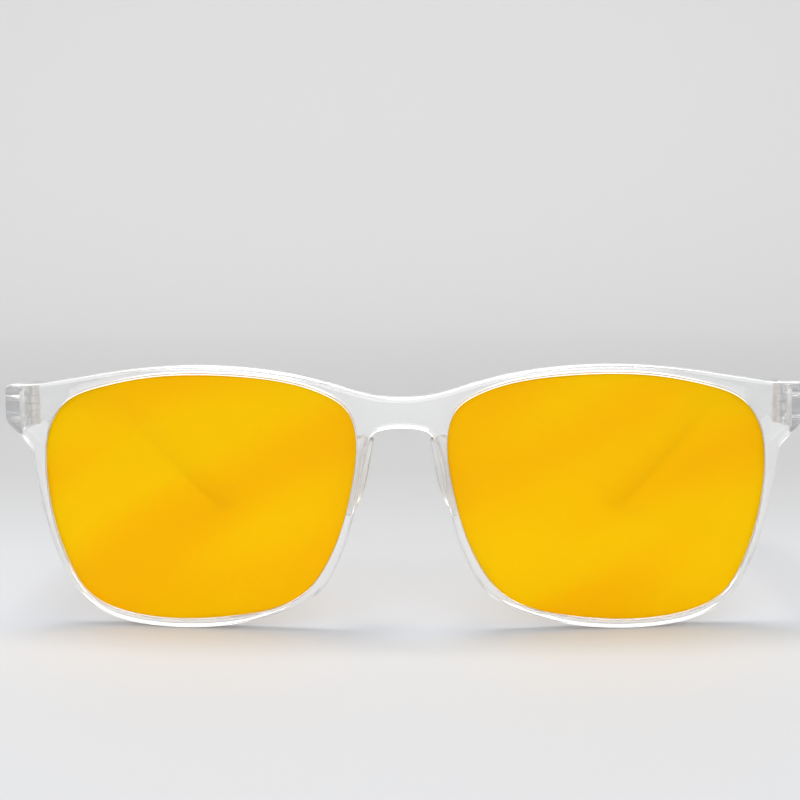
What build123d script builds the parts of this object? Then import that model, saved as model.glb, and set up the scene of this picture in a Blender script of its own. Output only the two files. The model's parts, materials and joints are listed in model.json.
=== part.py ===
"""Clear-framed blue light glasses: a one-piece front, two amber lenses, two nose pads, and two temples
on five-knuckle riveted hinges.

Everything is modelled in the front's own frame: x to the wearer's left, y back towards the wearer,
z up along the hinge axes, origin on the front surface midway between the lenses. The whole object is
then tipped by STANCE_TILT and set down so that it stands open on its rims and temple tips, with the
origin at the bottom centre of its box.
"""

import os

from build123d import *

# Front
FRONT_RADIUS = 300.0      # front, rear and lens faces are concentric spheres
FRONT_DEPTH = 3.8
HALF_WIDTH = 72.3
STANCE_TILT = 3.6         # degrees that the front leans forward when it stands open

# Lens and its groove, as depths behind the front face
LENS_FRONT = 0.9
LENS_THICKNESS = 2.0
TONGUE_THICKNESS = 0.8
TONGUE_HEIGHT = 0.6
LENS_CLEARANCE = 0.04

# Endpiece, the front's corner that turns back to the hinge
ENDPIECE_INNER = 69.2
ENDPIECE_REAR = 16.5
ENDPIECE_TOP = 17.6
ENDPIECE_SLOPE = (10.9, 0.8)    # where its top starts to come down, and how far it is down at the rear
ENDPIECE_LOW = 10.9       # its outer face's lower end, where its bottom starts to slant in
ENDPIECE_LOW_INNER = 8.15
ENDPIECE_HEEL = (69.0, 8.0)

# Hinge
HINGE_X = 68.1
HINGE_Z = 12.8
HINGE_HEIGHT = 6.6
KNUCKLES = 5
KNUCKLE_RADIUS = 1.15
KNUCKLE_GAP = 0.08
BORE_RADIUS = 0.64
SCREW_RADIUS = 0.6
SCREW_HEAD_RADIUS = 1.0
SCREW_HEAD_HEIGHT = 0.6
SLOT_WIDTH = 0.3
SLOT_DEPTH = 0.3
PLATE_INNER = 68.85
PLATE_OUTER = 69.7
FRONT_PLATE = (12.6, 15.15)     # first and last y of each hinge plate
TEMPLE_PLATE = (17.85, 23.6)
POCKET_CLEARANCE = 0.03
SWING_CLEARANCE = 0.2

# Rivets
RIVET_RADIUS = 0.5
RIVET_HEAD_RADIUS = 0.8
RIVET_HEAD_HEIGHT = 0.2
RIVET_SPACING = 3.9
RIVET_CLEARANCE = 0.02
FRONT_RIVET_Y = 13.85
TEMPLE_RIVET_Y = 20.9

# Temple
JOINT_GAP = 0.1

# Outlines in the front's x, z. The lens opening runs round one eye, the others run outwards or down.
LENS_OPENING = [
    (64.85, 3.4), (64.15, 9.3), (60.75, 14.8), (53.7, 17.95), (44.7, 19.8), (34.6, 20.35), (24.6, 19.8),
    (13.85, 17.2), (9.55, 14.2), (8.05, 8.9), (8.8, 1.2), (10.85, -7.1), (14.0, -14.3), (16.9, -18.3),
    (21.6, -21.5), (30.0, -23.7), (40.5, -24.7), (50.9, -23.7), (57.5, -20.7), (61.15, -15.0),
    (63.65, -7.1),
]
BROW = [(0, 16.35), (4, 16.62), (9, 17.8), (15, 19.5), (22, 20.9), (30, 21.7), (38, 21.8), (47, 21.1),
        (58, 19.35), (66.5, 17.8)]
RIM = [(67.5, 6.4), (67.05, 2.5), (66.3, -2.0), (65.35, -6.6), (64.0, -11.4), (62.05, -16.45),
       (59.1, -20.95), (54.1, -24.3), (47.5, -25.9), (39.0, -26.2), (30.5, -25.3), (21.5, -22.6),
       (15.0, -18.9), (11.7, -13.6), (9.7, -8.6), (8.4, -3.6), (7.6, 0.1), (6.9, 3.8), (6.1, 7.6),
       (5.0, 10.2)]
ARCH = [(0, 11.1), (2.4, 10.95), (4.1, 10.6)]

# Nose pad: the lip beside the rim, the foot on the rim's rear face, and the sections' places
PAD_LIP = 1.0
PAD_LEAN = 0.15
PAD_WAIST = 4.5
PAD_FOOT = 1.7
PAD_FOOT_REAR = 4.0
# Nose pad sections: z, x and y of the front edge, x and y of the rear edge, thickness
PAD_SECTIONS = [
    (9.3, 5.15, 2.4, 6.3, 6.2, 1.6),
    (7.2, 5.65, 1.2, 8.0, 8.9, 2.0),
    (3.6, 6.3, 1.0, 9.4, 11.0, 2.2),
    (0.0, 7.1, 1.2, 10.8, 11.4, 2.2),
    (-3.0, 8.1, 2.2, 11.8, 9.8, 2.0),
    (-5.0, 8.75, 3.4, 10.8, 7.4, 1.4),
]

# Temple stations along its centre line: x, y, z, half height, half thickness
TEMPLE_STATIONS = [
    (70.75, ENDPIECE_REAR + JOINT_GAP, 12.6, 4.25, 1.55),
    (70.75, 28.0, 11.5, 3.9, 1.55),
    (70.7, 48.0, 8.9, 2.5, 1.5),
    (69.2, 70.0, 5.3, 2.1, 1.4),
    (66.6, 87.0, 1.8, 2.0, 1.3),
    (61.6, 104.5, -9.9, 2.1, 1.25),
    (55.7, 120.8, -22.0, 2.3, 1.2),
    (51.8, 133.0, -29.7, 2.6, 1.2),
    (48.8, 144.6, -32.8, 2.3, 1.2),
]

PRISM_DEPTH = 40.0
RAW_WIDTH = 200.0
OVERSHOOT = 1.0           # how far a cut runs on past the face it opens


def ball(depth):
    """The space inside the sphere that lies depth behind the front face."""
    return Pos(0, FRONT_RADIUS, 0) * Sphere(FRONT_RADIUS - depth)


def prism(*lines):
    """The solid that a closed outline sweeps along y, through everything."""
    face = make_face([edge for line in lines for edge in line.edges()])
    return extrude(Pos(0, -PRISM_DEPTH, 0) * face, amount=2 * PRISM_DEPTH, dir=(0, 1, 0))


def block(low, high):
    """A box between two opposite corners."""
    size = [b - a for a, b in zip(low, high)]
    centre = [(a + b) / 2 for a, b in zip(low, high)]
    return Pos(*centre) * Box(*size)


def in_xz(points):
    return [Vector(x, 0, z) for x, z in points]


def across(points):
    """Points given outwards from the middle, run right across from the other side."""
    return [(-x, z) for x, z in reversed(points) if x > 0] + points


def curve_round(points, offset):
    """A closed smooth curve through the points, each moved outwards by offset."""
    moved = []
    for i, (x, z) in enumerate(points):
        before = points[i - 1]
        after = points[(i + 1) % len(points)]
        along = Vector(after[0] - before[0], after[1] - before[1], 0).normalized()
        moved.append((x + along.Y * offset, z - along.X * offset))
    return Spline(*in_xz(moved), periodic=True)


def opening(offset=0.0):
    """The lens opening's prism, larger than the visible opening by offset."""
    return prism(curve_round([(x, z) for x, z in reversed(LENS_OPENING)], -offset))


def both_sides(solid):
    return solid + mirror(solid, about=Plane.YZ)


def upright(x, y, low, high, radius):
    """A cylinder along z."""
    return Pos(x, y, (low + high) / 2) * Cylinder(radius, high - low)


def crossways(x_low, x_high, y, z, radius):
    """A cylinder along x."""
    return Pos((x_low + x_high) / 2, y, z) * Rot(0, 90, 0) * Cylinder(radius, x_high - x_low)


# ---------------------------------------------------------------- hinge

def knuckle_levels(first):
    """Bottom and top of every second knuckle, counted from the lowest."""
    pitch = (HINGE_HEIGHT + KNUCKLE_GAP) / KNUCKLES
    bottom = HINGE_Z - HINGE_HEIGHT / 2
    return [(bottom + i * pitch, bottom + (i + 1) * pitch - KNUCKLE_GAP) for i in range(first, KNUCKLES, 2)]


def rivet_heights():
    return (HINGE_Z - RIVET_SPACING / 2, HINGE_Z + RIVET_SPACING / 2)


def hinge_leaf(first_knuckle, plate, rivet_y):
    """A riveted plate with the knuckles that it carries round the hinge axis."""
    low, high = HINGE_Z - HINGE_HEIGHT / 2, HINGE_Z + HINGE_HEIGHT / 2
    leaf = block((PLATE_INNER, plate[0], low), (PLATE_OUTER, plate[1], high))
    middle = (plate[0] + plate[1]) / 2
    neck_low, neck_high = sorted((middle, ENDPIECE_REAR))
    for bottom, top in knuckle_levels(first_knuckle):
        leaf += upright(HINGE_X, ENDPIECE_REAR, bottom, top, KNUCKLE_RADIUS)
        leaf += block((HINGE_X, neck_low, bottom), (HINGE_X + KNUCKLE_RADIUS, neck_high, top))
    for z in rivet_heights():
        leaf -= crossways(HINGE_X - OVERSHOOT, HALF_WIDTH, rivet_y, z, RIVET_RADIUS + RIVET_CLEARANCE)
        leaf -= crossways(HINGE_X - OVERSHOOT, PLATE_INNER, rivet_y, z, RIVET_HEAD_RADIUS + RIVET_CLEARANCE)
    return leaf - upright(HINGE_X, ENDPIECE_REAR, low - OVERSHOOT, high + OVERSHOOT, BORE_RADIUS)


def leaf_pocket(plate):
    """The recess that a hinge plate and its knuckles need in the plastic."""
    low = HINGE_Z - HINGE_HEIGHT / 2 - POCKET_CLEARANCE
    high = HINGE_Z + HINGE_HEIGHT / 2 + POCKET_CLEARANCE
    outer = PLATE_OUTER + POCKET_CLEARANCE
    inner = HINGE_X - OVERSHOOT
    pocket = block((inner, plate[0] - POCKET_CLEARANCE, low), (outer, plate[1] + POCKET_CLEARANCE, high))
    near, far = sorted((sum(plate) / 2, ENDPIECE_REAR))
    pocket += block((inner, near, low), (HINGE_X + KNUCKLE_RADIUS + SWING_CLEARANCE, far, high))
    pocket += upright(HINGE_X, ENDPIECE_REAR, low - SWING_CLEARANCE, high + SWING_CLEARANCE,
                      KNUCKLE_RADIUS + SWING_CLEARANCE)
    return pocket


def rivet_holes(y):
    low, high = rivet_heights()
    return (crossways(HINGE_X, HALF_WIDTH + OVERSHOOT, y, low, RIVET_RADIUS + RIVET_CLEARANCE)
            + crossways(HINGE_X, HALF_WIDTH + OVERSHOOT, y, high, RIVET_RADIUS + RIVET_CLEARANCE))


def rivets(y):
    """A pair of headed pins from the hinge plate out to the plastic's outer face."""
    outer = HALF_WIDTH - RIVET_CLEARANCE
    pins = []
    for z in rivet_heights():
        pin = crossways(PLATE_INNER - RIVET_HEAD_HEIGHT, outer, y, z, RIVET_RADIUS)
        head = crossways(PLATE_INNER - RIVET_HEAD_HEIGHT, PLATE_INNER, y, z, RIVET_HEAD_RADIUS)
        pins.append(pin + head)
    return Compound(pins)


def hinge_screw():
    """A slotted screw down the hinge axis, its head on the top knuckle."""
    low, high = HINGE_Z - HINGE_HEIGHT / 2, HINGE_Z + HINGE_HEIGHT / 2
    top = high + SCREW_HEAD_HEIGHT
    screw = upright(HINGE_X, ENDPIECE_REAR, low, high, SCREW_RADIUS)
    screw += upright(HINGE_X, ENDPIECE_REAR, high, top, SCREW_HEAD_RADIUS)
    slot = block((HINGE_X - SLOT_WIDTH / 2, ENDPIECE_REAR - SCREW_HEAD_RADIUS, top - SLOT_DEPTH),
                 (HINGE_X + SLOT_WIDTH / 2, ENDPIECE_REAR + SCREW_HEAD_RADIUS, top))
    return screw - slot


# ---------------------------------------------------------------- front, lenses and pads

def front_outline():
    """The front seen from straight ahead: brow, endpieces, rims and bridge arch."""
    mirrored_rim = [(-x, z) for x, z in RIM]
    endpiece = [BROW[-1], (HALF_WIDTH, ENDPIECE_TOP), (HALF_WIDTH, ENDPIECE_LOW), ENDPIECE_HEEL, RIM[0]]
    edges = [Spline(*in_xz(across(BROW)))]
    edges += [Polyline(*in_xz(endpiece)), Polyline(*in_xz([(-x, z) for x, z in endpiece]))]
    edges += [Spline(*in_xz(RIM)), Spline(*in_xz(mirrored_rim))]
    arch = ARCH + [RIM[-1]]
    edges.append(Spline(*in_xz(across(arch))))
    return prism(*edges)


def endpiece_turnback():
    """The part of the left endpiece that reaches back to the hinge."""
    corners = [(ENDPIECE_INNER, ENDPIECE_TOP), (HALF_WIDTH, ENDPIECE_TOP), (HALF_WIDTH, ENDPIECE_LOW),
               (ENDPIECE_INNER, ENDPIECE_LOW_INNER)]
    wall = prism(Polyline(*in_xz(corners), close=True)) - endpiece_slope()
    return wall & ball(0) & block((0, 0, -RAW_WIDTH), (RAW_WIDTH, ENDPIECE_REAR, RAW_WIDTH))


def endpiece_slope():
    """The wedge taken off the top of the turned-back wall, down to the temple's height at the rear."""
    start, drop = ENDPIECE_SLOPE
    rear = ENDPIECE_REAR + OVERSHOOT
    low = ENDPIECE_TOP - drop * (rear - start) / (ENDPIECE_REAR - start)
    high = ENDPIECE_TOP + OVERSHOOT
    corners = [(0, start, ENDPIECE_TOP), (0, rear, low), (0, rear, high), (0, start, high)]
    side = make_face(Polyline(*corners, close=True))
    return extrude(side, amount=RAW_WIDTH, dir=(1, 0, 0))


def front():
    body = front_outline() & (ball(0) - ball(FRONT_DEPTH))
    body += both_sides(endpiece_turnback())
    groove_front = LENS_FRONT + (LENS_THICKNESS - TONGUE_THICKNESS) / 2 - LENS_CLEARANCE
    groove_rear = groove_front + TONGUE_THICKNESS + 2 * LENS_CLEARANCE
    groove = opening(TONGUE_HEIGHT + LENS_CLEARANCE) & (ball(groove_front) - ball(groove_rear))
    cut = opening() + groove + leaf_pocket(FRONT_PLATE) + rivet_holes(FRONT_RIVET_Y)
    return body - both_sides(cut)


def lens():
    """A lens with a tongue round its edge that sits in the front's groove."""
    tongue_front = LENS_FRONT + (LENS_THICKNESS - TONGUE_THICKNESS) / 2
    pane = opening(-LENS_CLEARANCE) & (ball(LENS_FRONT) - ball(LENS_FRONT + LENS_THICKNESS))
    tongue = opening(TONGUE_HEIGHT) & (ball(tongue_front) - ball(tongue_front + TONGUE_THICKNESS))
    return pane + tongue


def nose_pad(front_body):
    """A pad that flares back from the nose side of a rim, which it is bonded to."""
    sections = []
    for z, front_x, front_y, rear_x, rear_y, thickness in PAD_SECTIONS:
        corners = [(front_x, front_y), (front_x + PAD_LEAN, PAD_WAIST), (rear_x, rear_y),
                   (rear_x + thickness, rear_y - thickness / 3), (front_x + PAD_FOOT, PAD_FOOT_REAR),
                   (front_x + PAD_LIP, front_y)]
        sections.append(make_face(Polyline(*[Vector(x, y, z) for x, y in corners], close=True).edges()))
    return (loft(sections) - front_body).solids().sort_by(SortBy.VOLUME)[-1]


# ---------------------------------------------------------------- temples

def ribbon(stations):
    """Both edges of a band along a line, from stations of place and half width: a closed outline."""
    left, right = [], []
    for i, (u, v, half) in enumerate(stations):
        before = stations[max(i - 1, 0)]
        after = stations[min(i + 1, len(stations) - 1)]
        along = Vector(after[0] - before[0], after[1] - before[1], 0).normalized()
        left.append((u - along.Y * half, v + along.X * half))
        right.append((u + along.Y * half, v - along.X * half))
    return left, right


def ribbon_face(stations, to_space):
    left, right = ribbon(stations)
    left = [to_space(*p) for p in left]
    right = [to_space(*p) for p in right]
    start, end = Line(left[0], right[0]), Line(left[-1], right[-1])
    return make_face([Spline(*left), end, Spline(*right), start])


def temple():
    """A temple is the band that its side view and its top view have in common."""
    side = ribbon_face([(y, z, height) for x, y, z, height, width in TEMPLE_STATIONS],
                       lambda y, z: Vector(0, y, z))
    top = ribbon_face([(y, x, width) for x, y, z, height, width in TEMPLE_STATIONS],
                      lambda y, x: Vector(x, y, -RAW_WIDTH))
    body = extrude(side, amount=RAW_WIDTH, dir=(1, 0, 0)) & extrude(top, amount=2 * RAW_WIDTH, dir=(0, 0, 1))
    return body - leaf_pocket(TEMPLE_PLATE) - rivet_holes(TEMPLE_RIVET_Y)


# ---------------------------------------------------------------- the whole object

def build():
    front_body = front()
    left_side = {
        "lens": lens(),
        "nose_pad": nose_pad(front_body),
        "temple": temple(),
        "front_hinge_leaf": hinge_leaf(0, FRONT_PLATE, FRONT_RIVET_Y),
        "temple_hinge_leaf": hinge_leaf(1, TEMPLE_PLATE, TEMPLE_RIVET_Y),
        "hinge_screw": hinge_screw(),
        "front_rivets": rivets(FRONT_RIVET_Y),
        "temple_rivets": rivets(TEMPLE_RIVET_Y),
    }
    parts = {"front": front_body}
    for name, solid in left_side.items():
        parts["left_" + name] = solid
        parts["right_" + name] = mirror(solid, about=Plane.YZ)
    stance = Rot(STANCE_TILT, 0, 0)
    parts = {name: stance * solid for name, solid in parts.items()}
    box = Compound(list(parts.values())).bounding_box(optimal=True)
    drop = Pos(0, -box.center().Y, -box.min.Z)
    return {name: drop * solid for name, solid in parts.items()}, box


def main():
    os.makedirs("parts", exist_ok=True)
    parts, box = build()
    for name, solid in parts.items():
        export_step(solid, f"parts/{name}.step")
    print(f"box {box.size.X:.2f} x {box.size.Y:.2f} x {box.size.Z:.2f} mm")
    print(f"moved by y {-box.center().Y:.3f} z {-box.min.Z:.3f} mm")


main()
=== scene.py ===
"""Blue light glasses with a clear front and temples and amber lenses, standing open on a pale floor.

Every piece is built in the front's own frame, in millimetres: x to the wearer's left, y back towards
the wearer, z up along the hinge axes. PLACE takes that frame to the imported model's, in metres. The two
sides mirror each other, so a right piece is its left piece with x turned round.
"""

import json
import math

import bmesh
import bpy
import numpy as np
from mathutils import Matrix, Vector
from mathutils.geometry import delaunay_2d_cdt


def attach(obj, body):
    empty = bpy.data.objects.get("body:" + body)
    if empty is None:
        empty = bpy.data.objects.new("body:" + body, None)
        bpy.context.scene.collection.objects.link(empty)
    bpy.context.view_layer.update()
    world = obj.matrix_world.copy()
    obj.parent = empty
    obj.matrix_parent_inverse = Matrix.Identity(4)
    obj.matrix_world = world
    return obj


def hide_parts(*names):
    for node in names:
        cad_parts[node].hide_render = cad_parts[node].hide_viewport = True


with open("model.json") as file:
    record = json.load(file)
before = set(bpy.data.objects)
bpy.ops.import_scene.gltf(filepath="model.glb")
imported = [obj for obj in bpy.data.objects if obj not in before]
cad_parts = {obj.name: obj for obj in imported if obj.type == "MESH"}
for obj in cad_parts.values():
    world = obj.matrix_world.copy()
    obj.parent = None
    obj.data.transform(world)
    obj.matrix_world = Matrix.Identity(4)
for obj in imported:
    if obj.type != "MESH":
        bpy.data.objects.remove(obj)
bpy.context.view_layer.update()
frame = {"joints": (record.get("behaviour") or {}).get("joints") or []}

# ------------------------------------------------------------------ dimensions, mm

FRONT_RADIUS = 300.0            # front, rear and lens faces are concentric spheres
FRONT_DEPTH = 3.8
HALF_WIDTH = 72.28
OUTER_ROUND = 0.65              # radius along the front's outer edges
OPENING_ROUND = 0.3             # radius along the edges of the lens openings
CORNER_SMOOTHING = 2.0          # length of outline that each corner is blended over

WALL_INNER = 69.2               # the endpiece's turned-back wall
WALL_REAR = 16.48
WALL_INSET = 0.02               # the wall stands this far in from the front's own side
WALL_ROUND = 0.4
WALL_DROP = 0.8                 # how far its top edge comes down towards the rear
WALL_SMOOTHING = 1.6            # length of outline that its own corners are blended over

LENS_FACES = (0.9, 2.9)         # depths behind the front face
TONGUE_FACES = (1.5, 2.3)
TONGUE_HEIGHT = 0.25
GAP = 0.04                      # between a lens and the front
LENS_ROUND = 0.12

HINGE_X, HINGE_Y, HINGE_Z = 68.1, 16.5, 12.8
HINGE_HEIGHT = 6.6
KNUCKLES = 5
KNUCKLE_RADIUS = 1.15
KNUCKLE_GAP = 0.08
BORE_RADIUS = 0.64
SCREW_RADIUS = 0.6
SCREW_HEAD_RADIUS = 1.0
SCREW_HEAD_HEIGHT = 0.6
SLOT = (0.3, 0.3)               # width and depth
PLATE_FACES = (68.85, 69.7)
FRONT_PLATE = (12.6, 15.15)     # first and last y of each hinge plate
TEMPLE_PLATE = (17.85, 23.6)
PLATE_BEVEL = 0.12
KNUCKLE_CHAMFER = 0.06
NECK_INSET = 0.2                # the necks from plate to knuckles start this far outwards of the axis
NECK_GAP = 0.01                 # and stay this far inside their knuckles' faces
POCKET_GAP = 0.05               # round a plate, in the plastic
SWING_GAP = 0.2                 # round the knuckles, in the plastic
NECK_POCKET_REACH = 0.9         # how far the block cut for the necks runs on past their rear ends
NECK_POCKET_STEP = 0.03         # and how far its outer side stays inside the round cut for the knuckles

RIVET_RADIUS = 0.5
RIVET_HEAD_RADIUS = 0.8
RIVET_HEAD_HEIGHT = 0.2
RIVET_SPACING = 3.9
RIVET_END_INSET = 0.06          # how far a rivet's outer end stands in from the front's side
LEAF_HOLE_GAP = 0.02            # round a rivet, in the metal and in the plastic
PLASTIC_HOLE_GAP = 0.03
FRONT_RIVET_Y = 13.85
TEMPLE_RIVET_Y = 20.9

TEMPLE_START = 16.62
TEMPLE_CORNER = 0.7             # radius of the temple section's corners
TEMPLE_END_ROUND = 0.2
TIP_LENGTH = 2.4                # length over which the tip rounds off
TEMPLE_TURN = 0.06              # share of its length over which the section turns square to the bar

# Outlines in x, z. The lens opening runs round one eye, the others outwards from the middle.
LENS_OPENING = [
    (64.85, 3.4), (64.15, 9.3), (60.75, 14.8), (53.7, 17.95), (44.7, 19.8), (34.6, 20.35), (24.6, 19.8),
    (13.85, 17.2), (9.55, 14.2), (8.05, 8.9), (8.8, 1.2), (10.85, -7.1), (14.0, -14.3), (16.9, -18.3),
    (21.6, -21.5), (30.0, -23.7), (40.5, -24.7), (50.9, -23.7), (57.5, -20.7), (61.15, -15.0),
    (63.65, -7.1),
]
BROW = [(0, 16.33), (4, 16.6), (9, 17.78), (15, 19.48), (22, 20.88), (30, 21.68), (38, 21.78),
        (47, 21.08), (58, 19.33), (66.5, 17.78)]
ENDPIECE = [(HALF_WIDTH, 17.58), (HALF_WIDTH, 10.9), (69.0, 8.0)]
LOWER_EDGE = [(0, 11.1), (2.4, 10.95), (4.1, 10.6), (5.0, 10.2), (6.1, 7.6), (6.9, 3.8), (7.6, 0.1),
              (8.4, -3.6), (9.7, -8.6), (11.7, -13.6), (15.0, -18.9), (21.5, -22.6), (30.5, -25.28),
              (39.0, -26.18), (47.5, -25.88), (54.1, -24.28), (59.1, -20.93), (62.05, -16.43), (64.0, -11.4),
              (65.35, -6.6), (66.3, -2.0), (67.05, 2.5), (67.5, 6.4)]

# Nose pad sections: z, x and y of the front edge, x and y of the rear edge, thickness
PAD_SECTIONS = [
    (8.9, 5.25, 2.4, 6.5, 6.4, 1.6),
    (7.2, 5.7, 1.3, 8.0, 8.8, 1.9),
    (3.6, 6.35, 1.1, 9.4, 10.8, 2.1),
    (0.0, 7.15, 1.3, 10.8, 11.2, 2.1),
    (-3.0, 8.15, 2.3, 11.7, 9.6, 1.9),
    (-4.7, 8.75, 3.4, 10.9, 7.6, 1.4),
]

# Temple stations along its centre line: x, y, z, half height, half thickness
TEMPLE_STATIONS = [
    (70.78, TEMPLE_START, 12.6, 4.18, 1.5),
    (70.75, 28.0, 11.5, 3.87, 1.5),
    (70.7, 48.0, 8.9, 2.48, 1.45),
    (69.2, 70.0, 5.3, 2.08, 1.38),
    (66.6, 87.0, 1.8, 1.98, 1.28),
    (61.6, 104.5, -9.9, 2.08, 1.22),
    (55.7, 120.8, -22.0, 2.28, 1.18),
    (51.8, 133.0, -29.7, 2.57, 1.18),
    (48.8, 144.5, -32.8, 2.28, 1.18),
]

# Nose pad: the width of its lip beside the rim, its waist on the nose side and its foot on the rim's rear
# face, both as x past the front edge and y, and the height of the dome on its ends
PAD_LIP = 1.0
PAD_WAIST = (0.15, 4.5)
PAD_FOOT = (1.7, 4.0)
PAD_CROWN = 0.5

# Spacing of the points along outlines and over the front's faces, and rings of points on each curved piece
OUTLINE_STEP = 0.4
WALL_STEP = 0.15
FACE_STEP = 1.1
LENS_RINGS = 28
PAD_RINGS = 40
TEMPLE_RINGS = 180

OVERSHOOT = 1                   # how far a cut runs on past the face it opens

MM = 0.001
SIDES = ("left", "right")


# ------------------------------------------------------------------ frame

def front_frame():
    """The matrix from the front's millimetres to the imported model's metres, found from the left hinge."""
    joint = next(j for j in frame["joints"] if j["name"] == "left_temple_fold")
    up = Vector(joint["axis"]).normalized()
    side = Vector((1, 0, 0))
    back = up.cross(side)
    turn = Matrix((side, back, up)).transposed()
    shift = Vector(joint["pos_m"]) - turn @ (Vector((HINGE_X, HINGE_Y, HINGE_Z)) * MM)
    return Matrix.Translation(shift) @ turn.to_4x4() @ Matrix.Scale(MM, 4)


PLACE = front_frame()


# ------------------------------------------------------------------ curves and outlines

def cubic(points, closed=False):
    """A smooth curve through points, as a function of the share of its length. Extra columns past x, y
    and z go along smoothly and don't count as length."""
    p = np.array(points, float)
    if closed:
        p = np.vstack([p, p[:1]])
    gaps = np.linalg.norm(np.diff(p[:, :3], axis=0), axis=1)
    knots = np.r_[0, np.cumsum(gaps)]
    n = len(p)
    system = np.zeros((n, n))
    target = np.zeros_like(p)
    for i in range(1, n - 1):
        before, after = gaps[i - 1], gaps[i]
        system[i, i - 1:i + 2] = after, 2 * (before + after), before
        target[i] = 3 * (after * (p[i] - p[i - 1]) / before + before * (p[i + 1] - p[i]) / after)
    if closed:
        before, after = gaps[-1], gaps[0]
        system[0, 0], system[0, 1], system[0, -2] = 2 * (before + after), before, after
        target[0] = 3 * (after * (p[0] - p[-2]) / before + before * (p[1] - p[0]) / after)
        system[-1, 0], system[-1, -1] = 1, -1
    else:
        for end, near, far in ((0, 1, 2), (n - 1, n - 2, n - 3)):
            first = (p[near] - p[end]) / (knots[near] - knots[end])
            second = (p[far] - p[near]) / (knots[far] - knots[near])
            bend = (first - second) * (knots[near] - knots[end]) / (knots[far] - knots[end])
            system[end, end] = 1
            target[end] = first + bend
    slope = np.linalg.solve(system, target)

    def at(share):
        u = np.clip(np.asarray(share, float), 0, 1) * knots[-1]
        k = np.clip(np.searchsorted(knots, u, side="right") - 1, 0, n - 2)
        h = gaps[k][..., None]
        s = ((u - knots[k]) / gaps[k])[..., None]
        return ((1 + 2 * s) * (1 - s) ** 2 * p[k] + s * (1 - s) ** 2 * h * slope[k]
                + s * s * (3 - 2 * s) * p[k + 1] + s * s * (s - 1) * h * slope[k + 1])
    return at


def across(points):
    """Points given outwards from the middle, run right across from the other side."""
    return [(-x, z) for x, z in reversed(points) if x > 0] + list(points)


def evenly(loop, step):
    """A closed loop resampled at about that spacing."""
    closed = np.vstack([loop, loop[:1]])
    length = np.r_[0, np.cumsum(np.linalg.norm(np.diff(closed, axis=0), axis=1))]
    where = np.linspace(0, length[-1], int(round(length[-1] / step)) + 1)[:-1]
    return np.stack([np.interp(where, length, closed[:, i]) for i in range(closed.shape[1])], axis=1)


def blended(loop, width, fine=0.05):
    """A closed loop with its corners rounded, by averaging it over a stretch of that width."""
    loop = evenly(loop, fine)
    for stretch in (width, width / 5):
        reach = int(stretch / fine / 2)
        total = sum(np.roll(loop, shift, axis=0) for shift in range(-reach, reach + 1))
        loop = total / (2 * reach + 1)
    return loop


def area(loop):
    x, z = loop[:, 0], loop[:, 1]
    return 0.5 * np.sum(x * np.roll(z, -1) - z * np.roll(x, -1))


def turning(loop, left):
    """The loop, run so that what it encloses is on its left or its right."""
    return loop if (area(loop) > 0) == left else loop[::-1]


def moved_left(loop, distance):
    """A closed loop moved to its own left."""
    along = np.roll(loop, -1, axis=0) - np.roll(loop, 1, axis=0)
    along /= np.linalg.norm(along, axis=1)[:, None]
    return loop + distance * np.stack([-along[:, 1], along[:, 0]], axis=1)


def inside(points, loop):
    """Which points a closed loop goes round."""
    x, z = points[:, 0, None], points[:, 1, None]
    x0, z0 = loop[:, 0], loop[:, 1]
    x1, z1 = np.roll(x0, -1), np.roll(z0, -1)
    crosses = (z0 > z) != (z1 > z)
    with np.errstate(divide="ignore", invalid="ignore"):
        reach = x0 + (z - z0) * (x1 - x0) / (z1 - z0)
    return np.sum(crosses & (x < reach), axis=1) % 2 == 1


# ------------------------------------------------------------------ surfaces

def on_sphere(points, depth):
    """Points of the x, z plane laid on the sphere that is depth behind the front face."""
    x, z = points[:, 0], points[:, 1]
    y = FRONT_RADIUS - np.sqrt((FRONT_RADIUS - depth) ** 2 - x * x - z * z)
    return np.stack([x, y, z], axis=1)


def rounding(radius, steps=6):
    """Insets and depths round an edge of that radius, from the face to the side."""
    turn = np.linspace(math.pi / 2, 0, steps + 1)
    return [(radius * (1 - math.cos(a)), radius * (1 - math.sin(a))) for a in turn]


def edge_profile(front, rear, radius, side=()):
    """Insets and depths over a plate's edge, from its front face to its rear face."""
    bend = rounding(radius)
    return ([(inset, front + depth) for inset, depth in bend] + list(side)
            + [(inset, rear - depth) for inset, depth in reversed(bend)])


def rings_over(loop, profile):
    """One ring of points for each inset and depth of the profile. What is solid is on the loop's left."""
    return np.array([on_sphere(moved_left(loop, inset), depth) for inset, depth in profile])


def skin(rings, closed=True):
    """Quads between neighbouring rings, whose points run round closed loops."""
    count, size = rings.shape[:2]
    faces = []
    for r in range(count - 1):
        for s in range(size if closed else size - 1):
            t = (s + 1) % size
            faces.append((r * size + s, r * size + t, (r + 1) * size + t, (r + 1) * size + s))
    return rings.reshape(-1, 3), faces


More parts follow.
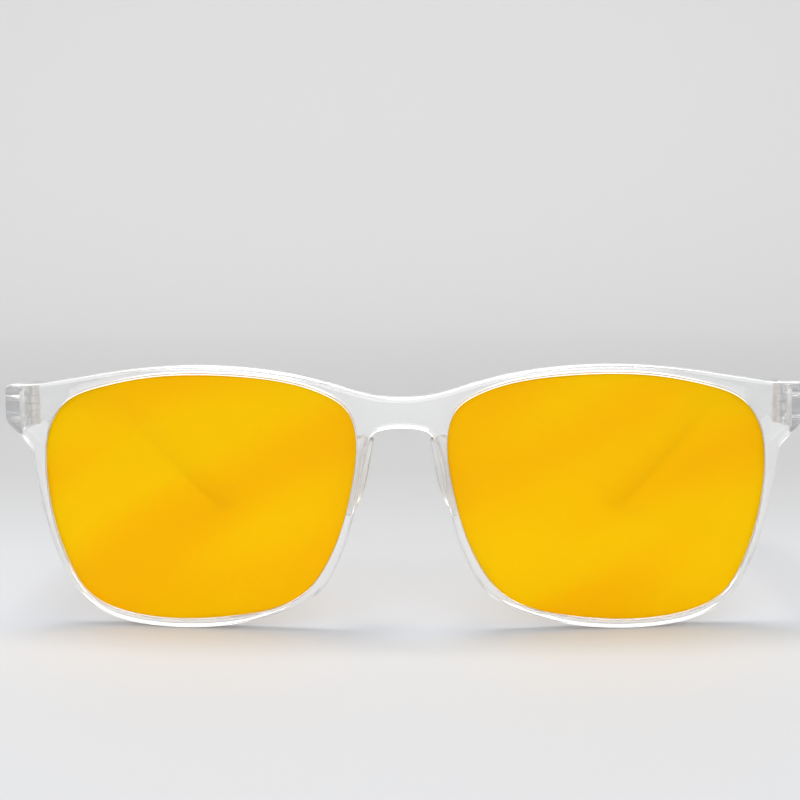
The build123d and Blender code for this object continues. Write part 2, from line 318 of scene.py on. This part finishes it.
def spread_inside(outer, holes, spacing):
    """Triangles that fill outer less its holes, with points of their own on an even grid."""
    low, high = outer.min(0), outer.max(0)
    columns = np.arange(low[0], high[0], spacing)
    rows = np.arange(low[1], high[1], spacing * 0.866)
    x, z = np.meshgrid(columns, rows)
    x = x + (np.arange(len(rows)) % 2)[:, None] * spacing / 2
    grid = np.stack([x.ravel(), z.ravel()], axis=1)
    grid = grid[inside(grid, outer)]
    borders = np.vstack([outer, *holes])
    for hole in holes:
        grid = grid[~inside(grid, hole)]
    clear = [np.min(np.sum((borders - g) ** 2, axis=1)) > (0.7 * spacing) ** 2 for g in grid]
    grid = grid[np.array(clear)] if len(grid) else grid
    points = np.vstack([borders, grid])
    edges, first = [], 0
    for loop in [outer, *holes]:
        size = len(loop)
        edges += [(first + i, first + (i + 1) % size) for i in range(size)]
        first += size
    made, _, triangles, _, _, _ = delaunay_2d_cdt([Vector(p) for p in points], edges, [], 0, 1e-7)
    made = np.array([tuple(v) for v in made])
    triangles = np.array([tuple(t) for t in triangles])
    middle = made[triangles].mean(axis=1)
    keep = inside(middle, outer)
    for hole in holes:
        keep &= ~inside(middle, hole)
    return made, [tuple(int(i) for i in t) for t in triangles[keep]]


# ------------------------------------------------------------------ meshes

def piece_from(name, *patches):
    """One object from patches of points and faces, welded where they meet."""
    points, faces, first = [], [], 0
    for patch_points, patch_faces in patches:
        points.append(np.asarray(patch_points, float))
        faces += [tuple(i + first for i in f) for f in patch_faces]
        first += len(patch_points)
    mesh = bpy.data.meshes.new(name)
    mesh.from_pydata([tuple(p) for p in np.vstack(points)], [], faces)
    piece = bpy.data.objects.new(name, mesh)
    bpy.context.scene.collection.objects.link(piece)
    weld(piece)
    return piece


def weld(piece, reach=0.0015):
    """Joins points that meet and turns every face outwards."""
    bm = bmesh.new()
    bm.from_mesh(piece.data)
    bmesh.ops.remove_doubles(bm, verts=bm.verts, dist=reach)
    bmesh.ops.dissolve_degenerate(bm, edges=bm.edges, dist=reach / 2)
    bmesh.ops.recalc_face_normals(bm, faces=bm.faces)
    bm.to_mesh(piece.data)
    bm.free()


def apply_modifiers(piece):
    scene_now = bpy.context.evaluated_depsgraph_get()
    mesh = bpy.data.meshes.new_from_object(piece.evaluated_get(scene_now))
    piece.modifiers.clear()
    piece.data = mesh


def combine(piece, tool, operation):
    """The piece after an exact boolean with a tool, which is used up."""
    step = piece.modifiers.new("combine", "BOOLEAN")
    step.operation = operation
    step.solver = "EXACT"
    step.object = tool
    apply_modifiers(piece)
    bpy.data.objects.remove(tool)
    return piece


def join(piece, *tools):
    for tool in tools:
        combine(piece, tool, "UNION")
    return piece


def cut(piece, *tools):
    for tool in tools:
        combine(piece, tool, "DIFFERENCE")
    return piece


def soften(piece, width, segments=2, angle=40):
    """A small round along the piece's sharp edges."""
    step = piece.modifiers.new("soften", "BEVEL")
    step.width = width
    step.segments = segments
    step.limit_method = "ANGLE"
    step.angle_limit = math.radians(angle)
    apply_modifiers(piece)
    return piece


def shade(piece, crease=34):
    """Smooth shading that breaks only at creases sharper than that angle."""
    bm = bmesh.new()
    bm.from_mesh(piece.data)
    bmesh.ops.remove_doubles(bm, verts=bm.verts, dist=0.0008)
    bmesh.ops.dissolve_degenerate(bm, edges=bm.edges, dist=0.0005)
    for face in bm.faces:
        face.smooth = True
    for edge in bm.edges:
        edge.smooth = len(edge.link_faces) == 2 and edge.calc_face_angle() < math.radians(crease)
    bm.to_mesh(piece.data)
    bm.free()


def slab(low, high, bevel=0.0):
    """A box between two opposite corners."""
    corners = [(x, y, z) for x in (low[0], high[0]) for y in (low[1], high[1]) for z in (low[2], high[2])]
    faces = [(0, 1, 3, 2), (4, 6, 7, 5), (0, 4, 5, 1), (2, 3, 7, 6), (0, 2, 6, 4), (1, 5, 7, 3)]
    box = piece_from("slab", (corners, faces))
    return soften(box, bevel) if bevel else box


def turned(profile, origin, axis="z", segments=48):
    """A solid turned about an axis through origin. The profile is radius and height, from end to end."""
    turn = 2 * math.pi * (np.arange(segments) + 0.5) / segments
    rings = []
    for radius, height in [(0, profile[0][1]), *profile, (0, profile[-1][1])]:
        a, b = radius * np.cos(turn), radius * np.sin(turn)
        level = np.full(segments, height)
        rings.append(np.stack([level, a, b] if axis == "x" else [a, b, level], axis=1))
    return piece_from("turned", skin(np.array(rings) + np.array(origin)))


def rod(radius, low, high, origin, axis="z", chamfer=0.0):
    """A round bar from low to high along an axis through origin."""
    profile = [(radius - chamfer, low), (radius, low + chamfer), (radius, high - chamfer),
               (radius - chamfer, high)]
    return turned(profile if chamfer else profile[1:3], origin, axis)


def finish_piece(piece, name, side, body, replaced, material):
    """Names, places and registers a piece. A right piece is the mirror of what was built."""
    piece.name = name
    piece.data.name = name
    if side == "right":
        piece.data.transform(Matrix.Scale(-1, 4, (1, 0, 0)))
        piece.data.flip_normals()
    piece.data.transform(PLACE)
    piece.data.materials.clear()
    piece.data.materials.append(material)
    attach(piece, body)
    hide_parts(replaced)
    return piece


def both_sides(make, name, replaced, body, material):
    """Makes a piece on each side. name, replaced and body hold {} for the side's name."""
    for side in SIDES:
        piece = make()
        shade(piece)
        finish_piece(piece, name.format(side), side, body.format(side), replaced.format(side), material)


# ------------------------------------------------------------------ hinge hardware

def hinge_levels():
    return HINGE_Z - HINGE_HEIGHT / 2, HINGE_Z + HINGE_HEIGHT / 2


def knuckle_levels(first):
    """Bottom and top of every second knuckle, counted from the lowest."""
    pitch = (HINGE_HEIGHT + KNUCKLE_GAP) / KNUCKLES
    bottom = hinge_levels()[0]
    return [(bottom + i * pitch, bottom + (i + 1) * pitch - KNUCKLE_GAP) for i in range(first, KNUCKLES, 2)]


def rivet_heights():
    return HINGE_Z - RIVET_SPACING / 2, HINGE_Z + RIVET_SPACING / 2


def hinge_leaf(first_knuckle, plate, rivet_y):
    """A riveted plate with the knuckles that it carries round the hinge axis."""
    low, high = hinge_levels()
    leaf = slab((PLATE_FACES[0], plate[0], low), (PLATE_FACES[1], plate[1], high), PLATE_BEVEL)
    near, far = sorted((sum(plate) / 2, HINGE_Y))
    for bottom, top in knuckle_levels(first_knuckle):
        neck = slab((HINGE_X + NECK_INSET, near, bottom + NECK_GAP),
                    (HINGE_X + KNUCKLE_RADIUS - NECK_GAP, far, top - NECK_GAP))
        barrel = rod(KNUCKLE_RADIUS, bottom, top, (HINGE_X, HINGE_Y, 0), chamfer=KNUCKLE_CHAMFER)
        join(leaf, neck, barrel)
    for z in rivet_heights():
        hole = (0, rivet_y, z)
        cut(leaf, rod(RIVET_RADIUS + LEAF_HOLE_GAP, HINGE_X, HALF_WIDTH, hole, "x"))
    return cut(leaf, rod(BORE_RADIUS, low - OVERSHOOT, high + OVERSHOOT, (HINGE_X, HINGE_Y, 0)))


def leaf_pocket(plate):
    """The recess that a hinge plate and its knuckles need in the plastic, as three blocks to cut."""
    low, high = hinge_levels()
    near, far = sorted((sum(plate) / 2, HINGE_Y))
    inner = HINGE_X - OVERSHOOT
    outer = HINGE_X + KNUCKLE_RADIUS + SWING_GAP - NECK_POCKET_STEP
    return (
        slab((inner, plate[0] - POCKET_GAP, low - POCKET_GAP),
             (PLATE_FACES[1] + POCKET_GAP, plate[1] + POCKET_GAP, high + POCKET_GAP)),
        slab((inner, near, low - 2 * POCKET_GAP), (outer, far + NECK_POCKET_REACH, high + 2 * POCKET_GAP)),
        rod(KNUCKLE_RADIUS + SWING_GAP, low - SWING_GAP, high + SWING_GAP, (HINGE_X, HINGE_Y, 0)),
    )


def rivet_holes(y):
    radius = RIVET_RADIUS + PLASTIC_HOLE_GAP
    return [rod(radius, HINGE_X, HALF_WIDTH + OVERSHOOT, (0, y, z), "x") for z in rivet_heights()]


def rivet_pair(y):
    """Two headed pins from the hinge plate out to the plastic's outer face, where their ends are domed."""
    head = PLATE_FACES[0] - RIVET_HEAD_HEIGHT
    outer = HALF_WIDTH - RIVET_END_INSET
    profile = [
        (0.35, head), (0.62, head + 0.03), (0.76, head + 0.1), (RIVET_HEAD_RADIUS, PLATE_FACES[0]),
        (RIVET_RADIUS, PLATE_FACES[0] + 0.001), (RIVET_RADIUS, outer - 0.14), (0.44, outer - 0.05),
        (0.25, outer - 0.005),
    ]
    pins = [turned(profile, (0, y, z), "x", 32) for z in rivet_heights()]
    return join(*pins)


def hinge_screw():
    """A slotted screw down the hinge axis, its domed head on the top knuckle."""
    low, high = hinge_levels()
    top = high + SCREW_HEAD_HEIGHT
    profile = [
        (0.45, low), (SCREW_RADIUS, low + 0.15), (SCREW_RADIUS, high), (SCREW_HEAD_RADIUS, high + 0.01),
        (SCREW_HEAD_RADIUS, high + 0.35), (0.93, high + 0.46), (0.75, top - 0.06), (0.4, top - 0.01),
    ]
    screw = turned(profile, (HINGE_X, HINGE_Y, 0))
    width, depth = SLOT
    across_head = SCREW_HEAD_RADIUS + OVERSHOOT
    slot = slab((HINGE_X - width / 2, HINGE_Y - across_head, top - depth),
                (HINGE_X + width / 2, HINGE_Y + across_head, top + OVERSHOOT))
    return cut(screw, slot)


# ------------------------------------------------------------------ front

def front_outline():
    """The front seen from straight ahead: brow, endpieces, rims and bridge arch."""
    share = np.linspace(0, 1, 3000)
    brow = cubic(across(BROW))(share)
    lower = cubic(across(LOWER_EDGE))(share)[::-1]
    left_end = np.array(ENDPIECE)
    right_end = left_end[::-1] * (-1, 1)
    outline = np.vstack([brow, left_end, lower, right_end])
    return blended(outline, CORNER_SMOOTHING)


def opening_outline():
    return evenly(cubic(LENS_OPENING, closed=True)(np.linspace(0, 1, 4000)[:-1]), OUTLINE_STEP)


def front_plate():
    """The front's rims, bridge and endpieces, as one plate with rounded edges."""
    outline = turning(evenly(front_outline(), OUTLINE_STEP), left=True)
    groove = [(0, TONGUE_FACES[0] - GAP), (TONGUE_HEIGHT + GAP, TONGUE_FACES[0] - GAP),
              (TONGUE_HEIGHT + GAP, TONGUE_FACES[1] + GAP), (0, TONGUE_FACES[1] + GAP)]
    left_eye = turning(opening_outline(), left=False)
    right_eye = (left_eye * (-1, 1))[::-1]
    outer = rings_over(outline, edge_profile(0, FRONT_DEPTH, OUTER_ROUND))
    eye_profile = edge_profile(0, FRONT_DEPTH, OPENING_ROUND, groove)
    eyes = [rings_over(eye, eye_profile) for eye in (left_eye, right_eye)]
    borders = [rings[0][:, [0, 2]] for rings in (outer, *eyes)]
    points, triangles = spread_inside(borders[0], borders[1:], FACE_STEP)
    faces = [on_sphere(points, depth) for depth in (0, FRONT_DEPTH)]
    return piece_from("plate", skin(outer), *[skin(rings) for rings in eyes],
                      (faces[0], triangles), (faces[1], triangles))


def turned_back_wall():
    """The part of the left endpiece that reaches back to the hinge, from inside the plate."""
    outline = front_outline()
    section = outline[outline[:, 0] > WALL_INNER]
    start = np.argmax(np.linalg.norm(np.diff(section, axis=0), axis=1)) + 1
    section = np.roll(section, -start, axis=0)
    section = turning(evenly(blended(section, WALL_SMOOTHING), WALL_STEP), left=True)
    section = moved_left(section, WALL_INSET)
    rings = [on_sphere(section, FRONT_DEPTH / 2)]
    top, low = section[:, 1].max(), section[:, 1].min()
    section = section - np.outer((section[:, 1] - low) / (top - low), (0, WALL_DROP))
    for inset, depth in reversed(rounding(WALL_ROUND)):
        rings.append(np.insert(moved_left(section, inset), 1, WALL_REAR - depth, axis=1))
    size = len(section)
    points, faces = skin(np.array(rings))
    faces.append(tuple(range(size)))
    faces.append(tuple(range(len(points) - size, len(points))))
    return piece_from("wall", (points, faces))


def mirrored(piece):
    """A mirror copy of a piece on the other side."""
    twin = piece.copy()
    twin.data = piece.data.copy()
    twin.data.transform(Matrix.Scale(-1, 4, (1, 0, 0)))
    twin.data.flip_normals()
    bpy.context.scene.collection.objects.link(twin)
    return twin


def front():
    body = front_plate()
    wall = turned_back_wall()
    join(body, mirrored(wall), wall)
    for tool in (*leaf_pocket(FRONT_PLATE), *rivet_holes(FRONT_RIVET_Y)):
        cut(body, mirrored(tool), tool)
    shade(body)
    return body


# ------------------------------------------------------------------ lenses and pads

def lens():
    """A spherical pane with a small tongue round its edge that sits in the front's groove."""
    outline = turning(opening_outline(), left=True)
    tongue = [(GAP, TONGUE_FACES[0]), (-TONGUE_HEIGHT, TONGUE_FACES[0]), (-TONGUE_HEIGHT, TONGUE_FACES[1]),
              (GAP, TONGUE_FACES[1])]
    profile = edge_profile(*LENS_FACES, LENS_ROUND, tongue)
    profile = [(inset if (inset, depth) in tongue else inset + GAP, depth) for inset, depth in profile]
    edge = rings_over(outline, profile)
    patches = [skin(edge)]
    for border, depth in ((edge[0], LENS_FACES[0]), (edge[-1], LENS_FACES[1])):
        flat = border[:, [0, 2]]
        middle = flat.mean(axis=0)
        shares = np.linspace(1, 0, LENS_RINGS)
        patches.append(skin(np.array([on_sphere(middle + s * (flat - middle), depth) for s in shares])))
    return piece_from("lens", *patches)


def pad_section(z, front_x, front_y, rear_x, rear_y, thickness):
    """One level of the left nose pad, as a smooth closed loop."""
    waist_x, waist_y = PAD_WAIST
    foot_x, foot_y = PAD_FOOT
    corners = [(front_x, front_y), (front_x + waist_x, waist_y), (rear_x, rear_y),
               (rear_x + thickness, rear_y - thickness / 3), (front_x + foot_x, foot_y),
               (front_x + PAD_LIP, front_y)]
    loop = cubic(corners, closed=True)(np.linspace(0, 1, 49)[:-1])
    return np.insert(loop, 2, z, axis=1)


def nose_pad():
    """A pad that flares back from the nose side of a rim."""
    levels = np.array([pad_section(*section) for section in PAD_SECTIONS])
    share = np.linspace(0, 1, PAD_RINGS)
    flow = [cubic(levels[:, i])(share) for i in range(levels.shape[1])]
    rings = np.stack(flow, axis=1)
    caps = []
    for end, way in ((rings[0], 1), (rings[-1], -1)):
        middle = end.mean(axis=0)
        crown = np.array((0, 0, way * PAD_CROWN))
        turn = np.linspace(0, math.pi / 2, 7)[1:]
        caps.append([middle + (end - middle) * math.cos(a) + crown * math.sin(a) for a in turn])
    rings = np.array([*reversed(caps[0]), *rings, *caps[1]])
    return piece_from("pad", skin(rings))


# ------------------------------------------------------------------ temples

def rounded_rectangle(half_width, half_height, radius, corner_steps=6, side_steps=4):
    """A closed loop about the origin, the same number of points whatever its size."""
    radius = min(radius, 0.98 * half_width, 0.98 * half_height)
    arc = np.linspace(0, math.pi / 2, corner_steps + 1)
    corner = radius * np.stack([np.cos(arc), np.sin(arc)], axis=1)
    centre = np.array((half_width - radius, half_height - radius))
    quarter = centre + corner
    second = (quarter * (-1, 1))[::-1]
    half = np.vstack([quarter, between(quarter[-1], second[0], side_steps), second])
    side = between(half[-1], -half[0], side_steps)
    return np.vstack([half, side, -half, -side])


def between(start, end, steps):
    """The points that divide a line in steps, without its ends."""
    return np.array([start + (end - start) * i / steps for i in range(1, steps)])


def temple():
    """The left temple: a bar that narrows from the hinge, bends down over the ear and ends in a paddle."""
    line = cubic(TEMPLE_STATIONS)
    length = sum(math.dist(a[:3], b[:3]) for a, b in zip(TEMPLE_STATIONS, TEMPLE_STATIONS[1:]))
    tip = 1 - TIP_LENGTH / length
    tip_turn = np.linspace(0, math.pi / 2, 12)
    shares = np.r_[np.linspace(0, tip, TEMPLE_RINGS), tip + (1 - tip) * np.sin(tip_turn[1:])]
    rings = []
    for inset, depth in rounding(TEMPLE_END_ROUND, 4)[:-1]:
        rings.append(temple_ring(line, depth / length, inset))
    for share in shares:
        if share * length < TEMPLE_END_ROUND * 0.99:
            continue
        past = max(0.0, (share - tip) / (1 - tip))
        rings.append(temple_ring(line, share, 0, math.sqrt(max(0.0, 1 - past * past))))
    points, faces = skin(np.array(rings))
    size = rings[0].shape[0]
    faces.append(tuple(range(size)))
    return piece_from("temple", (points, faces))


def temple_ring(line, share, inset, scale=1.0):
    """The temple's section at a share of its length. It turns from upright at the hinge to square on."""
    near = 0.002
    here = line(share)
    ahead, behind = line(min(1, share + near)), line(max(0, share - near))
    along = (ahead - behind)[:3]
    along /= np.linalg.norm(along)
    vertical = np.array((0, 0, 1.0))
    up = vertical - along * along[2]
    up /= np.linalg.norm(up)
    lean = min(1.0, share / TEMPLE_TURN)
    up = vertical + (up - vertical) * lean * lean * (3 - 2 * lean)
    side = np.cross(along, up)
    side /= np.linalg.norm(side)
    thin = 1 - (1 - scale) ** 3
    shape = rounded_rectangle(here[4] * thin - inset, here[3] * scale - inset, TEMPLE_CORNER - inset)
    return here[:3] + shape[:, :1] * side + shape[:, 1:] * up


def temple_with_pocket():
    return cut(temple(), *leaf_pocket(TEMPLE_PLATE), *rivet_holes(TEMPLE_RIVET_Y))


# ------------------------------------------------------------------ materials

class Shader:
    """A material's node tree with a Principled shader, and the helpers that build on it."""

    def __init__(self, name, **values):
        self.material = bpy.data.materials.new(name)
        self.material.use_nodes = True
        self.tree = self.material.node_tree
        self.surface = next(n for n in self.tree.nodes if n.type == "BSDF_PRINCIPLED")
        for socket, value in values.items():
            self.surface.inputs[socket.replace("_", " ")].default_value = value

    def node(self, kind, inputs=(), **settings):
        made = self.tree.nodes.new(kind)
        for name, value in settings.items():
            setattr(made, name, value)
        for socket, value in dict(inputs).items():
            if isinstance(value, bpy.types.NodeSocket):
                self.tree.links.new(value, made.inputs[socket])
            else:
                made.inputs[socket].default_value = value
        return made

    def place(self, stretch=(1, 1, 1), lean=0.0):
        """Object coordinates, which stay with the piece as it moves, leant over about y and stretched."""
        where = self.node("ShaderNodeTexCoord")
        leant = self.node("ShaderNodeMapping", {0: where.outputs["Object"], "Rotation": (0, lean, 0)})
        return self.node("ShaderNodeMapping", {0: leant.outputs[0], "Scale": stretch}).outputs[0]

    def noise(self, size, detail=3.0, stretch=(1, 1, 1), lean=0.0):
        """Noise from 0 to 1 whose features are about that many millimetres."""
        inputs = {"Vector": self.place(stretch, lean), "Scale": 1 / (size * MM), "Detail": detail}
        return self.node("ShaderNodeTexNoise", inputs).outputs[0]

    def ramp(self, value, low, high, start=0.3, end=0.7):
        """A value spread from low to high as the input goes from start to end."""
        inputs = {0: value, 1: start, 2: end, 3: low, 4: high}
        return self.node("ShaderNodeMapRange", inputs).outputs[0]

    def colours(self, value, stops):
        ramp = self.node("ShaderNodeValToRGB", {0: value})
        elements = ramp.color_ramp.elements
        while len(elements) < len(stops):
            elements.new(0.5)
        for element, (place, colour) in zip(elements, stops):
            element.position = place
            element.color = (*colour, 1)
        return ramp.outputs[0]

    def drive(self, socket, value):
        self.tree.links.new(value, self.surface.inputs[socket])

    def bump(self, height, distance, strength=1.0):
        inputs = {"Height": height, "Distance": distance * MM, "Strength": strength}
        self.drive("Normal", self.node("ShaderNodeBump", inputs).outputs[0])


def clear_plastic(name, thin, thick):
    """Polished plastic, from the thin to the thick colour in soft clouds, with faint wipe marks and the
    slight waviness of a moulding."""
    shader = Shader(name, Transmission_Weight=0.8, IOR=1.49)
    shader.drive("Base Color", shader.colours(shader.noise(14.0), [(0.3, thick), (0.7, thin)]))
    shader.drive("Roughness", shader.ramp(shader.noise(2.6, 4.0, (1.0, 0.35, 2.0)), 0.03, 0.12))
    shader.bump(shader.noise(5.0, 1.0), 0.012)
    return shader.material


def clear_pad():
    """Softer, slightly milky plastic, rubbed dull where it meets the nose."""
    shader = Shader("clear_pad", Transmission_Weight=0.85, IOR=1.15)
    clouds = [(0.3, (0.945, 0.95, 0.945)), (0.7, (0.98, 0.982, 0.978))]
    shader.drive("Base Color", shader.colours(shader.noise(4.0), clouds))
    shader.drive("Roughness", shader.ramp(shader.noise(1.4, 5.0), 0.08, 0.22))
    shader.bump(shader.noise(0.5, 2.0), 0.01)
    return shader.material


def amber_lens():
    """Resin coloured deep amber all through, with soft slanting streaks of painted light and shade and faint
    wipe marks.
    Its anti-reflective coat is why the IOR is lower than bare resin's."""
    shader = Shader("amber_lens", Transmission_Weight=0.58, IOR=1.18, Specular_IOR_Level=0.1)
    # Slanting streaks of painted light and shade in the amber colour.
    painted_light_streaks = shader.noise(17.0, 0.5, (0.35, 1.0, 1.3), lean=math.radians(28))
    shader.drive("Base Color", shader.colours(painted_light_streaks, [(0.36, (1.0, 0.555, 0.0)), (0.64, (1.0, 0.64, 0.0))]))
    shader.drive("Roughness", shader.ramp(shader.noise(6.0, 5.0, (2.0, 1.0, 0.7)), 0.015, 0.07))
    shader.bump(shader.noise(12.0, 1.0), 0.01)
    return shader.material


def brushed_metal(name, light, dark, grain, rough, stretch):
    """Satin metal with fine brushed lines and a darker tarnish in patches."""
    shader = Shader(name, Metallic=1.0)
    lines = shader.noise(grain, 6.0, stretch)
    tarnish = shader.noise(0.9, 4.0)
    shader.drive("Base Color", shader.colours(tarnish, [(0.32, dark), (0.62, light)]))
    shader.drive("Roughness", shader.ramp(lines, *rough))
    shader.bump(lines, 0.006, 0.6)
    return shader.material


# ------------------------------------------------------------------ the object

PLASTIC = clear_plastic("clear_plastic", (0.985, 0.988, 0.99), (0.955, 0.962, 0.968))
# The temples get a greyer copy of the same clear plastic: painted shade for how dark they look along their
# length and in shadow.
ARM_PLASTIC_PAINTED_SHADE = clear_plastic("clear_arm_plastic_painted_shade", (0.82, 0.83, 0.84), (0.77, 0.78, 0.795))
METAL = brushed_metal("nickel_silver", (0.6, 0.58, 0.55), (0.4, 0.38, 0.35), 0.12, (0.22, 0.42), (1, 1, 9))
SCREW_METAL = brushed_metal("screw_steel", (0.6, 0.6, 0.61), (0.4, 0.4, 0.41), 0.1, (0.16, 0.34), (1, 1, 6))
RIVET_METAL = brushed_metal("rivet_steel", (0.55, 0.55, 0.56), (0.38, 0.38, 0.39), 0.1, (0.14, 0.3),
                            (6, 1, 1))

FRONT_BODY = "front_assembly"
TEMPLE_BODY = "{}_temple_assembly"

finish_piece(front(), "clear_front", "left", FRONT_BODY, "front", PLASTIC)
both_sides(lens, "{}_lens_pane", "{}_lens", FRONT_BODY, amber_lens())
both_sides(nose_pad, "{}_pad", "{}_nose_pad", FRONT_BODY, clear_pad())
both_sides(temple_with_pocket, "{}_temple_arm", "{}_temple", TEMPLE_BODY, ARM_PLASTIC_PAINTED_SHADE)
both_sides(lambda: hinge_leaf(0, FRONT_PLATE, FRONT_RIVET_Y), "{}_front_leaf", "{}_front_hinge_leaf",
           FRONT_BODY, METAL)
both_sides(lambda: hinge_leaf(1, TEMPLE_PLATE, TEMPLE_RIVET_Y), "{}_temple_leaf", "{}_temple_hinge_leaf",
           TEMPLE_BODY, METAL)
both_sides(hinge_screw, "{}_screw", "{}_hinge_screw", FRONT_BODY, SCREW_METAL)
both_sides(lambda: rivet_pair(FRONT_RIVET_Y), "{}_front_pins", "{}_front_rivets",
           FRONT_BODY, RIVET_METAL)
both_sides(lambda: rivet_pair(TEMPLE_RIVET_Y), "{}_temple_pins", "{}_temple_rivets",
           TEMPLE_BODY, RIVET_METAL)


# ------------------------------------------------------------------ floor, light and camera

# Painted shade along the sweep: y in metres, brightness, and how far the colour leans to blue, a painted
# offset for the amber light the lenses throw on the floor
FLOOR_PAINTED_SHADE = [(-0.12, 0.58, 0.03), (-0.07, 0.605, 0.04), (0.0, 0.6, 0.03), (0.07, 0.525, 0.01),
                (0.13, 0.485, 0), (0.37, 0.485, 0), (0.47, 0.52, 0), (0.6, 0.57, 0), (0.7, 0.585, 0)]
SKY_STRENGTH = 0.89
CAMERA_PLACE = (0.0093, -0.37303, 0.0736)
CAMERA_ANGLES = (-1.821, 5.987, -0.357)     # yaw, downward pitch and roll, degrees
CAMERA_LENS = 77.47                         # focal length on a 36 mm wide sensor


def pale_sweep():
    """A floor that curves up into a wall behind the glasses, with painted shade darkest just behind them."""
    reach, back, bend, height = 8.0, 0.62, 0.45, 3.0
    turn = np.linspace(0, math.pi / 2, 40)
    line = [(-reach, 0.0), (-0.5, 0.0)]
    line += [(back + bend * math.sin(a), bend * (1 - math.cos(a))) for a in turn]
    line.append((back + bend, height))
    rings = np.array([[(x, y, z) for y, z in line] for x in (-reach, reach)]) / MM
    sweep = piece_from("sweep", skin(rings, closed=False))
    sweep.data.transform(Matrix.Scale(MM, 4))
    shader = Shader("pale_paint", Roughness=0.7, Specular_IOR_Level=0.2)
    depth = shader.node("ShaderNodeSeparateXYZ", {0: shader.place()}).outputs["Y"]
    first, last = FLOOR_PAINTED_SHADE[0][0], FLOOR_PAINTED_SHADE[-1][0]
    # Painted shade along the sweep, with a blue lean that offsets the amber light thrown from the lenses.
    stops = [((y - first) / (last - first), ((1 - cool / 2) * v, v, (1 + cool) * v))
             for y, v, cool in FLOOR_PAINTED_SHADE]
    shader.drive("Base Color", shader.colours(shader.ramp(depth, 0, 1, first, last), stops))
    sweep.data.materials.append(shader.material)
    for face in sweep.data.polygons:
        face.use_smooth = True


def soft_box(name, place, aim, size, watts, only_on=()):
    """A rectangular soft box. It lights everything, or only the pieces named."""
    light = bpy.data.lights.new(name, "AREA")
    light.shape = "RECTANGLE"
    light.size, light.size_y = size
    light.energy = watts
    lamp = bpy.data.objects.new(name, light)
    bpy.context.scene.collection.objects.link(lamp)
    lamp.location = place
    lamp.rotation_euler = (Vector(aim) - Vector(place)).to_track_quat("-Z", "Y").to_euler()
    if only_on:
        lit = bpy.data.collections.new(name + "_pieces")
        for piece in only_on:
            lit.objects.link(bpy.data.objects[piece])
        lamp.light_linking.receiver_collection = lit


def sky():
    """Even soft light from all round."""
    world = bpy.data.worlds.new("studio")
    bpy.context.scene.world = world
    world.use_nodes = True
    tree = world.node_tree
    background = next(n for n in tree.nodes if n.type == "BACKGROUND")
    background.inputs["Color"].default_value = (1, 1, 1, 1)
    background.inputs["Strength"].default_value = SKY_STRENGTH


def camera():
    """The camera, in front of the glasses and a little above them, looking slightly down."""
    data = bpy.data.cameras.new("camera")
    data.sensor_width = 36.0
    data.lens = CAMERA_LENS
    data.clip_start = 0.01
    viewer = bpy.data.objects.new("camera", data)
    bpy.context.scene.collection.objects.link(viewer)
    yaw, pitch, roll = (math.radians(a) for a in CAMERA_ANGLES)
    ahead = Vector((math.sin(yaw) * math.cos(pitch), math.cos(yaw) * math.cos(pitch), -math.sin(pitch)))
    right = ahead.cross(Vector((0, 0, 1))).normalized()
    up = right.cross(ahead)
    right, up = (right * math.cos(roll) + up * math.sin(roll), up * math.cos(roll) - right * math.sin(roll))
    turn = Matrix((right, up, -ahead)).transposed()
    viewer.matrix_world = Matrix.Translation(CAMERA_PLACE) @ turn.to_4x4()
    bpy.context.scene.camera = viewer


pale_sweep()
sky()
soft_box("overhead", (-0.15, 0.05, 1.0), (0, 0, 0), (0.5, 0.4), 4.8)
soft_box("edge_light", (0, 0.85, 0.42), (0, -0.07, 0.04), (1.6, 0.3), 4,
         ("clear_front", "left_pad", "right_pad"))
soft_box("front_fill", (0, -2.2, 0.9), (0, 0.8, 0.3), (2.4, 1.4), 30)
camera()
bpy.context.scene.view_settings.view_transform = "Standard"
